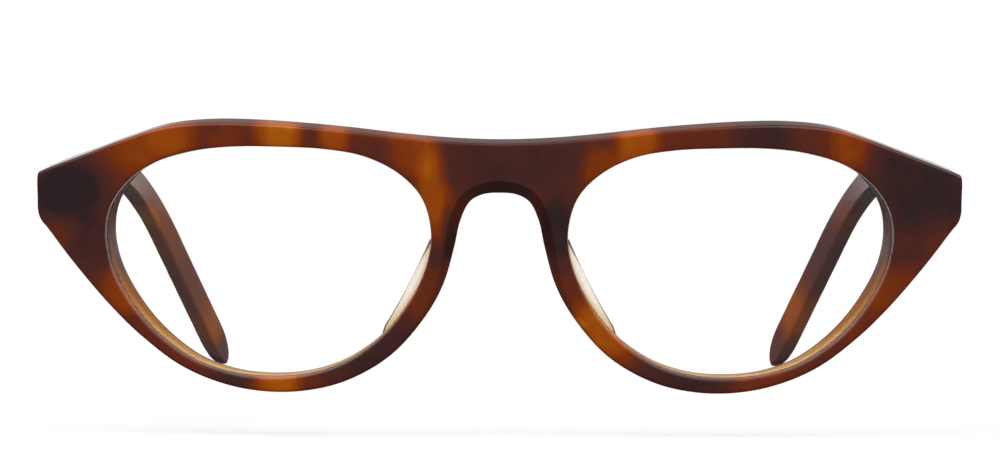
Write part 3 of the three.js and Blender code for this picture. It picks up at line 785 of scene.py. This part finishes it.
def noise(place, scale, detail=2, roughness=0.5, output="Fac"):
    return addNode(place, "TexNoise", {
        "Vector": place, "Scale": scale, "Detail": detail, "Roughness": roughness,
    }).outputs[output]


def mapped(value, fromLow, fromHigh, toLow=0, toHigh=1, soft=False):
    return addNode(value, "MapRange", {
        "Value": value, "From Min": fromLow, "From Max": fromHigh,
        "To Min": toLow, "To Max": toHigh,
    }, interpolation_type="SMOOTHSTEP" if soft else "LINEAR").outputs["Result"]


def useAsSurface(node):
    feed(node.id_data.nodes["Material Output"], {"Surface": node.outputs[0]})


noiseRange = (0.3, 0.7)   # nearly all of a noise lies between these


def varied(place, scale, low, high, detail=2):   # a noise spread between two values
    return mapped(noise(place, scale, detail), *noiseRange, low, high)


def bumped(height, distance):
    bump = addNode(height, "Bump", {"Height": height, "Distance": distance})
    return bump.outputs["Normal"]


def colourRamp(value, stops):
    node = addNode(value, "ValToRGB", {"Fac": value})
    ramp = node.color_ramp
    ramp.interpolation = "EASE"
    while len(ramp.elements) < len(stops):
        ramp.elements.new(0.5)
    for element, (place, colour) in zip(ramp.elements, stops):
        element.position = place
        element.color = linear(*colour)
    return node.outputs["Color"]


tortoise = {
    "ramp": [
        (0.0, (47, 33, 35)), (0.25, (82, 40, 34)), (0.4, (105, 43, 23)),
        (0.6, (134, 54, 3)), (0.8, (162, 73, 0)), (1.0, (187, 100, 0)),
    ],
    "roughness": (0.08, 0.16), "smudgeScale": 90, "ior": 1.5,
    "frontTone": 0.36,
    "templeTone": {"left": 0.45, "right": 0.3},
    "templePaintedSheen": {"left": 0.24, "right": 0.05},   # how far each temple goes to the painted sheen's colour, a grey reflection painted in
    "paintedSheenColour": (142, 134, 130), "cloudScale": 75, "cloudStrength": 0.06,
    "streakScale": 420, "streakStrength": 0.035, "wanderScale": 120,
    "wander": 1.3,
    "plateau": 0.7,   # how soon a patch has its full strength, from its rim inwards
    "throughDepth": 1000000,   # half depth of a patch: it goes right through the sheet
    "waveScale": 260, "waveHeight": 0.00003,
}

# Patches of the front seen from the front, in millimetres from its middle at the table:
# across, up, half width, half height, tilt in degrees, lighter or darker
frontPatches = [
    (-52.5, 37.6, 10, 6.5, 18, 0.32), (-48.6, 38.8, 5.5, 5, 8, 0.12), (-41, 38.2, 4, 5, 0, 0.07),
    (-32.9, 38.6, 4.8, 9, 0, 0.56), (-24.4, 38.2, 3.2, 7, 0, 0.4), (-13, 37.2, 5.4, 7.5, 8, 0.32),
    (-9.8, 30, 3.9, 9, 6, 0.46), (-9.3, 21, 3.4, 3, 0, -0.16), (-10.5, 13.5, 4, 4, 45, 0.07),
    (-16.5, 7, 8, 4.4, 35, -0.22), (-23, 3.6, 6, 4.2, 12, -0.1), (-33.2, 1.2, 5.6, 8, 0, 0.52),
    (-40.5, 2.6, 5, 4.5, -12, -0.14), (-56.7, 14.8, 5.3, 3.9, -45, 0.3),
    (-66.6, 23.6, 3.6, 3, -40, 0.06), (-65.5, 30.2, 9, 7, 10, -0.36),
    # The darker patches at (2, 35.6), (-7, 23.5) and (8.6, 24.5) are painted shade on the
    # downward-facing bevel beside the nose, laid over the pattern's own dark there
    (-61.5, 22.5, 5.5, 6, 0, -0.24), (2, 35.6, 14, 8.5, 0, -0.2), (-7, 23.5, 1.6, 7, 8, -0.24),
    (8.6, 24.5, 4.6, 8, 0, -0.3), (20.3, 37.4, 4.8, 7, 0, 0.5), (14.8, 33.2, 4.8, 4.4, 35, 0.28),
    (15.6, 9.6, 7.8, 4.8, -50, 0.52), (12.1, 11.2, 2.2, 0.7, -38, 0.2),
    (27.5, 3.2, 9, 4.5, -8, -0.22), (39.5, 2.8, 6.5, 4.5, 8, 0.14), (39, 38.6, 6.5, 5, 0, -0.26),
    (52.2, 37.6, 5, 6, -10, 0.3), (64.5, 30.9, 13, 8.6, -8, -0.3), (60.5, 22.8, 7, 6, 0, -0.15),
    (59.8, 16, 6, 5, 45, 0.13), (66, 20.8, 4, 3, 45, -0.03), (54, 11, 6, 5, 45, 0.08),
    (58, 37, 5, 5, 0, -0.12),
]

# Patches of each temple seen from its side, in millimetres: place along Y, height, then as above
templePatches = {
    "left": [
        (-48, 31, 6, 7, 0, -0.16), (-34, 31.5, 9, 8, 0, 0.4), (-14, 33, 8, 7, 0, -0.1),
        (2, 33.5, 9, 7, 0, 0.32), (20, 34, 8, 6, 0, -0.12), (42.5, 26, 5.5, 3.8, -45, 0.4),
        (56, 16, 5, 6, -45, -0.08), (65, 8.2, 6.5, 6, -45, 0.24), (70.5, 3.5, 4, 5, -45, -0.2),
    ],
    "right": [
        (-50, 31, 6, 7, 0, -0.16), (-28, 32, 10, 8, 0, 0.36), (-6, 33, 8, 7, 0, -0.1),
        (12, 34, 8, 7, 0, 0.34), (30, 33, 8, 6, -20, -0.1), (44, 27.4, 5, 5, -45, 0.16),
        (52, 20, 6, 5, -45, -0.08), (62, 10, 9, 7, -45, 0.42),
    ],
}

# The walls round the lenses, where light comes through the edge: painted light, a glow set by
# height in millimetres and colour, paler low down
rimWall = {
    "heights": (2, 38),
    "ramp": [
        (0.0, (184, 136, 78)), (0.22, (178, 124, 52)), (0.36, (160, 94, 6)),
        (0.52, (138, 78, 10)), (0.6, (98, 68, 58)), (1.0, (70, 40, 38)),
    ],
    "roughness": 0.4,   # milled, and less polished than the faces
    "towards": (0.1, 0.4),   # how far a wall looks towards the lens's middle
    "flatness": (0.3, 0.75),   # the rounded edges keep the colour of the faces, and so do
    "lip": (0.9, 1.5),   # the lip in front of the lens, by its depth in millimetres,
    "backEdge": (0.4, 0.8),   # and a narrow band at the back edge
    "deeper": (3.2, 4.4),   # between these depths the colour moves along the ramp,
    "deeperShift": (-0.03, 0.13),   # by so much
    "fade": (26, 34),   # heights between which the walls take more of the faces' colour
    "topShare": 0.35,
    "middleHeight": 20.5,
}


def acetateFinish(shader, colour, milledShare=None):
    place = objectPlace(shader)
    roughness = varied(place, tortoise["smudgeScale"], *tortoise["roughness"], detail=4)
    if milledShare is not None:
        roughness = mapped(milledShare, 0, 1, roughness, rimWall["roughness"])
    wave = noise(place, tortoise["waveScale"], detail=1)
    feed(shader, {
        "Base Color": colour, "Roughness": roughness, "IOR": tortoise["ior"],
        "Normal": bumped(wave, tortoise["waveHeight"])})


def cloudyPlace(shader):   # object coordinates in millimetres, set wandering a little
    place = objectPlace(shader)
    drift = noise(place, tortoise["wanderScale"], output="Color")
    centred = vectorMath("SUBTRACT", drift, (0.5, 0.5, 0.5))
    wander = scaled(centred, tortoise["wander"] * 2)
    return vectorMath("ADD", inMillimetres(place), wander)


def patchedLight(place, tone, patches):   # the general tone with its soft clouds and patches
    strength, fine = tortoise["cloudStrength"], tortoise["streakStrength"]
    plainPlace = objectPlace(place)
    clouds = varied(plainPlace, tortoise["cloudScale"], tone - strength, tone + strength)
    streaks = varied(plainPlace, tortoise["streakScale"], -fine, fine, detail=3)
    light = calculated("ADD", clouds, streaks)
    for across, up, halfWidth, halfHeight, tilt, amount in patches:
        shape = addNode(place, "Mapping", {
            "Vector": place, "Location": (across, 0, up), "Rotation": (0, -radians(tilt), 0),
            "Scale": (halfWidth, tortoise["throughDepth"], halfHeight),
        }, vector_type="TEXTURE").outputs[0]
        ball = addNode(shape, "TexGradient", {"Vector": shape}, gradient_type="SPHERICAL")
        patch = mapped(ball.outputs["Fac"], 0, tortoise["plateau"], 0, amount, soft=True)
        light = calculated("ADD", light, patch)
    return light


# Millimetres behind the curved front face, and the way through the sheet
def depthBehindFace(place):
    across = separated(place)[0]
    back, up = cos(lean), sin(lean)
    fromFace = vectorMath("SUBTRACT", place, frontPlace.translation / mm)
    sag = product(product(across, across), 0.5 / front["bendRadius"])
    depth = calculated("SUBTRACT", dotted(fromFace, (0, back, up)), sag)
    turn = calculated("DIVIDE", across, -front["bendRadius"])
    return depth, addNode(place, "CombineXYZ", {"X": turn, "Y": back, "Z": up}).outputs[0]


# 1 on the walls that look towards a lens's middle, where the painted glow of light through the edge
# goes
def paintedGlowShare(place, depth, through):
    across, back, _ = separated(place)
    middle = addNode(place, "CombineXYZ", {
        "X": product(calculated("SIGN", across), lensCentre), "Y": back,
        "Z": rimWall["middleHeight"]})
    towards = vectorMath("SUBTRACT", middle.outputs[0], place)
    unit = vectorMath("NORMALIZE", towards)
    normal = addNode(place, "TexCoord").outputs["Normal"]
    share = mapped(dotted(unit, normal), *rimWall["towards"], soft=True)
    tilted = calculated("ABSOLUTE", dotted(through, normal))
    thin, thick = front["thickness"], front["thickness"] + front["wallThickening"]
    distance = calculated("ABSOLUTE", across)
    fullDepth = mapped(distance, lensCentre, openingOuter, thin, thick, soft=True)
    toBack = calculated("SUBTRACT", fullDepth, depth)
    for value, limits, ends in (
        (tilted, rimWall["flatness"], (1, 0)),
        (depth, rimWall["lip"], (0, 1)),
        (toBack, rimWall["backEdge"], (0, 1)),
    ):
        share = product(share, mapped(value, *limits, *ends, soft=True))
    return share


def frontAcetate():
    material, shader = newMaterial("tortoiseFront")
    light = patchedLight(cloudyPlace(shader), tortoise["frontTone"], frontPatches)
    face = colourRamp(light, tortoise["ramp"])
    place = inMillimetres(objectPlace(shader))
    up = separated(place)[2]
    depth, through = depthBehindFace(place)
    # Painted light: the walls round the lenses take a painted glow, by height and depth, in place
    # of the faces' colour
    shift = mapped(depth, *rimWall["deeper"], *rimWall["deeperShift"], soft=True)
    tone = calculated("ADD", mapped(up, *rimWall["heights"]), shift)
    wall = colourRamp(tone, rimWall["ramp"])
    fade = mapped(up, *rimWall["fade"], 1, rimWall["topShare"], soft=True)
    share = product(paintedGlowShare(place, depth, through), fade)
    both = addNode(share, "Mix", {0: share, 6: face, 7: wall}, data_type="RGBA")
    acetateFinish(shader, both.outputs[2], share)
    return material


def templeAcetate(side):
    material, shader = newMaterial("tortoiseTemple" + side.capitalize())
    _, along, up = separated(cloudyPlace(shader))
    fromSide = addNode(up, "CombineXYZ", {"X": along, "Z": up}).outputs[0]
    light = patchedLight(fromSide, tortoise["templeTone"][side], templePatches[side])
    # Painted reflection: the ramp's colours are mixed towards a pale grey sheen, more on the left
    # temple
    sheenShare, sheenColour = tortoise["templePaintedSheen"][side], tortoise["paintedSheenColour"]
    ramp = [
        (place, tuple(mix(part, sheenPart, sheenShare) for part, sheenPart in zip(colour, sheenColour)))
        for place, colour in tortoise["ramp"]
    ]
    acetateFinish(shader, colourRamp(light, ramp))
    return material


# Pads: clear, with the amber of the rim in the part nearest to it; depths in millimetres
padLook = {
    "depths": (5.0, 9.0),
    "ramp": [
        (0.0, (198, 140, 72)), (0.35, (214, 178, 128)),
        (0.65, (236, 224, 206)), (1.0, (250, 246, 240)),
    ],
    "cloudScale": 160, "cloudStrength": 0.12, "smudgeScale": 400,
    "roughness": (0.06, 0.14), "clearness": 0.88, "ior": 1.49,
    "shadowTint": (0.9, 0.87, 0.82, 1),
}


def padAcetate():
    material, shader = newMaterial("padAcetate")
    place = objectPlace(shader)
    depth, _ = depthBehindFace(inMillimetres(place))
    strength = padLook["cloudStrength"]
    cloud = varied(place, padLook["cloudScale"], -strength, strength)
    tone = calculated("ADD", mapped(depth, *padLook["depths"]), cloud)
    feed(shader, {
        "Base Color": colourRamp(tone, padLook["ramp"]),
        "Roughness": varied(place, padLook["smudgeScale"], *padLook["roughness"], detail=3),
        "Transmission Weight": padLook["clearness"], "IOR": padLook["ior"]})
    letLightThrough(shader, padLook["shadowTint"])
    return material


# Lamps shine through, so clear pieces cast hardly any shadow
def letLightThrough(shader, tint):
    path = addNode(shader, "LightPath")
    clear = addNode(shader, "BsdfTransparent", {"Color": tint})
    useAsSurface(addNode(shader, "MixShader", {
        "Fac": path.outputs["Is Shadow Ray"], 1: shader.outputs[0], 2: clear.outputs[0]}))


lensLook = {
    "colour": (0.998, 1, 1, 1),
    "ior": 1.25,   # low, as a coated lens hardly reflects
    "shadowTint": (0.96, 0.97, 0.97, 1),
    "edgeGlowRamp": [   # painted glow, over the same heights as the walls round the lenses
        (0.0, (194, 160, 118)), (0.18, (184, 144, 96)), (0.32, (158, 106, 50)),
        (0.46, (116, 76, 42)), (0.58, (76, 54, 52)), (1.0, (62, 46, 50)),
    ],
    "edgeRoughness": 0.6,
    "grainScale": 1500,
    "grain": (-0.02, 0.02),
}


def lensGlass():
    material, shader = newMaterial("lensGlass")
    feed(shader, {
        "Base Color": lensLook["colour"], "Roughness": 0, "Transmission Weight": 1,
        "IOR": lensLook["ior"]})
    letLightThrough(shader, lensLook["shadowTint"])
    return material


def lensEdge():   # the ground edge, whose tint is painted light: the glow of the rim's wall around it, painted by height
    material, shader = newMaterial("lensEdge")
    place = objectPlace(shader)
    height = mapped(separated(inMillimetres(place))[2], *rimWall["heights"])
    grain = varied(place, lensLook["grainScale"], *lensLook["grain"], detail=3)
    tint = colourRamp(calculated("ADD", height, grain), lensLook["edgeGlowRamp"])
    feed(shader, {"Base Color": tint, "Roughness": lensLook["edgeRoughness"]})
    return material


# Metals, with their grain drawn out in the direction of the smallest stretch
metals = {
    "hingeMetal": {"colour": (204, 200, 196), "roughness": (0.24, 0.4), "stretch": (1, 1, 0.12)},
    "screwSteel": {"colour": (206, 206, 210), "roughness": (0.16, 0.3), "stretch": (1, 1, 1)},
    "wireMetal": {"colour": (196, 170, 122), "roughness": (0.3, 0.45), "stretch": (1, 0.1, 1)},
}
metalGrain = {"scale": 900, "roughness": 0.6, "height": 0.00001, "darkShare": 0.86}


def metalFinish(name):
    material, shader = newMaterial(name)
    look = metals[name]
    place = addNode(shader, "Mapping", {
        "Vector": objectPlace(shader), "Scale": look["stretch"]}).outputs[0]
    grain = noise(place, metalGrain["scale"], detail=4, roughness=metalGrain["roughness"])
    colour, (low, high) = look["colour"], noiseRange
    darker = tuple(round(value * metalGrain["darkShare"]) for value in colour)
    feed(shader, {
        "Metallic": 1,
        "Base Color": colourRamp(grain, [(low, darker), (high, colour)]),
        "Roughness": mapped(grain, *noiseRange, *look["roughness"]),
        "Normal": bumped(grain, metalGrain["height"]),
    })
    return material


# Stage: a pale floor and an even white studio
studio = {
    "floorRadius": 5.0, "floorSides": 96, "floorRoughness": 0.9,
    "floorDrop": 0.0066,   # folded temples reach this far below the rims
    "floorColour": (0.08, 0.34),   # for light that bounces, and to the eye
    "floorLift": (0.61, 0.73),   # evens out the light, near the object and far from it
    "floorLiftReach": (0.4, 2.0), "floorLiftThroughGlass": 0.06,
    "worldLight": 0.8,
    "throughGlass": 1.04,   # makes up for what two polished faces of a lens send back
    "glossFront": 0.2,   # brightness that polished faces see on the camera's side
    "glossBack": 0.88,   # and straight behind the object
    "glossNarrowing": 3,
    "glossHeights": (0.06, 0.34),   # the white behind ends at this height, as a sine
    "glossAbove": 0.1,
    "lamps": {   # place, width and height, power
        "keyLight": ((-1.3, -1.7, 2.0), (2.6, 2.6), 46),
        "fillLight": ((1.5, -1.6, 1.2), (2.4, 2.4), 28),
    },
    "lampTarget": (0, -0.03, 0.02), "cameraDistance": 0.6,
    "cameraHeight": 0.0235, "focalLength": 144.8, "sensorWidth": 36,
    "shift": (0.0005, 0.007), "roll": radians(-0.23),
}


def addFloor():
    bm = bmesh.new()
    bmesh.ops.create_circle(
        bm, cap_ends=True, segments=studio["floorSides"], radius=studio["floorRadius"])
    placed(bm, Matrix.Translation((0, 0, -studio["floorDrop"])))
    floor = linked("floor", meshFrom("floor", bm))
    bm.free()
    material, shader = newMaterial("floor")
    path = addNode(shader, "LightPath")
    through = path.outputs["Is Transmission Ray"]
    seen = calculated("MAXIMUM", path.outputs["Is Camera Ray"], through)
    feed(shader, {
        "Base Color": mapped(seen, 0, 1, *studio["floorColour"]),
        "Roughness": studio["floorRoughness"], "Specular IOR Level": 0})
    distance = vectorMath("LENGTH", objectPlace(shader), output="Value")
    even = mapped(distance, *studio["floorLiftReach"], *studio["floorLift"])
    extra = product(through, studio["floorLiftThroughGlass"])
    strength = product(seen, calculated("ADD", even, extra))
    glow = addNode(shader, "Emission", {"Color": (1, 1, 1, 1), "Strength": strength})
    useAsSurface(addNode(shader, "AddShader", {0: shader.outputs[0], 1: glow.outputs[0]}))
    floor.data.materials.append(material)


# White to the eye; in reflections white behind the object and dimmer elsewhere
def setWorld():
    world = bpy.data.worlds.new("studio")
    bpy.context.scene.world = world
    world.use_nodes = True
    background = world.node_tree.nodes["Background"]
    path = addNode(background, "LightPath")
    through = path.outputs["Is Transmission Ray"]
    plain = mapped(path.outputs["Is Camera Ray"], 0, 1, studio["worldLight"], 1)
    light = calculated("MAXIMUM", plain, product(through, studio["throughGlass"]))
    _, depth, up = separated(objectPlace(background))
    narrowed = calculated("POWER", calculated("MAXIMUM", depth, 0), studio["glossNarrowing"])
    low = mapped(up, *studio["glossHeights"], 1, studio["glossAbove"], soft=True)
    gloss = mapped(product(narrowed, low), 0, 1, studio["glossFront"], studio["glossBack"])
    # what passes a lens counts as glossy too, and sees the plain white
    reflected = calculated("SUBTRACT", path.outputs["Is Glossy Ray"], through)
    choice = addNode(background, "Mix", {0: reflected, 2: light, 3: gloss})
    feed(background, {"Color": (1, 1, 1, 1), "Strength": choice.outputs[0]})


def addLamps():
    for name, (place, size, power) in studio["lamps"].items():
        lamp = bpy.data.lights.new(name, "AREA")
        lamp.shape = "RECTANGLE"
        lamp.size, lamp.size_y = size
        lamp.energy = power
        item = linked(name, lamp)
        item.location = place
        direction = Vector(studio["lampTarget"]) - Vector(place)
        item.rotation_euler = direction.to_track_quat("-Z", "Y").to_euler()
        item.visible_camera = False


def addCamera():
    camera = bpy.data.cameras.new("camera")
    camera.lens = studio["focalLength"]
    camera.sensor_width = studio["sensorWidth"]
    camera.shift_x, camera.shift_y = studio["shift"]
    item = linked("camera", camera)
    depth = frontPlace.translation.y - studio["cameraDistance"]
    item.location = (0, depth, studio["cameraHeight"])
    item.rotation_euler = (radians(90), studio["roll"], 0)   # upright, and looking back
    bpy.context.scene.camera = item


# The looks of the record's slots; a lens has a second one for its ground edge
slotLooks = {
    "pad_acetate": [padAcetate()],
    "clear_lens": [lensGlass(), lensEdge()],
    "hinge_metal": [metalFinish("hingeMetal")],
    "screw_steel": [metalFinish("screwSteel")],
}
wireLook = metalFinish("wireMetal")


def addSide(side):
    arm = "temple_" + side
    slotLooks["tortoise_acetate"] = [templeAcetate(side)]
    for name, shape, place, body, slot, node in (
        ("lens", lensShape, frontPlace, "front", "clear_lens", "lens"),
        ("nosePad", padShape, frontPlace, "front", "pad_acetate", "nose_pad"),
        ("frontLeaf", frontLeafShape, hingePlace, "front", "hinge_metal", "front_hinge_leaf"),
        ("hingeScrew", screwShape, hingePlace, "front", "screw_steel", "hinge_screw"),
        ("templeLeaf", templeLeafShape, hingePlace, arm, "hinge_metal", "temple_hinge_leaf"),
        ("temple", templeShape, hingePlace, arm, "tortoise_acetate", "temple"),
    ):
        bm = placed(shape(), place)
        if side == "left":
            bm = mirroredCopy(bm)
        addPiece(name + side.capitalize(), bm, slotLooks[slot], body, f"{node}_{side}")
    wire = frame["nodes"]["core_wire_" + side]
    wire.data.materials.clear()
    wire.data.materials.append(wireLook)


whole = placed(frontShape(), frontPlace)
addPiece("front", whole, [frontAcetate()], "front", "front")
for side in sides:
    addSide(side)

addFloor()
setWorld()
addLamps()
addCamera()
bpy.context.scene.view_settings.view_transform = "Standard"
print("stage, lights and camera set")
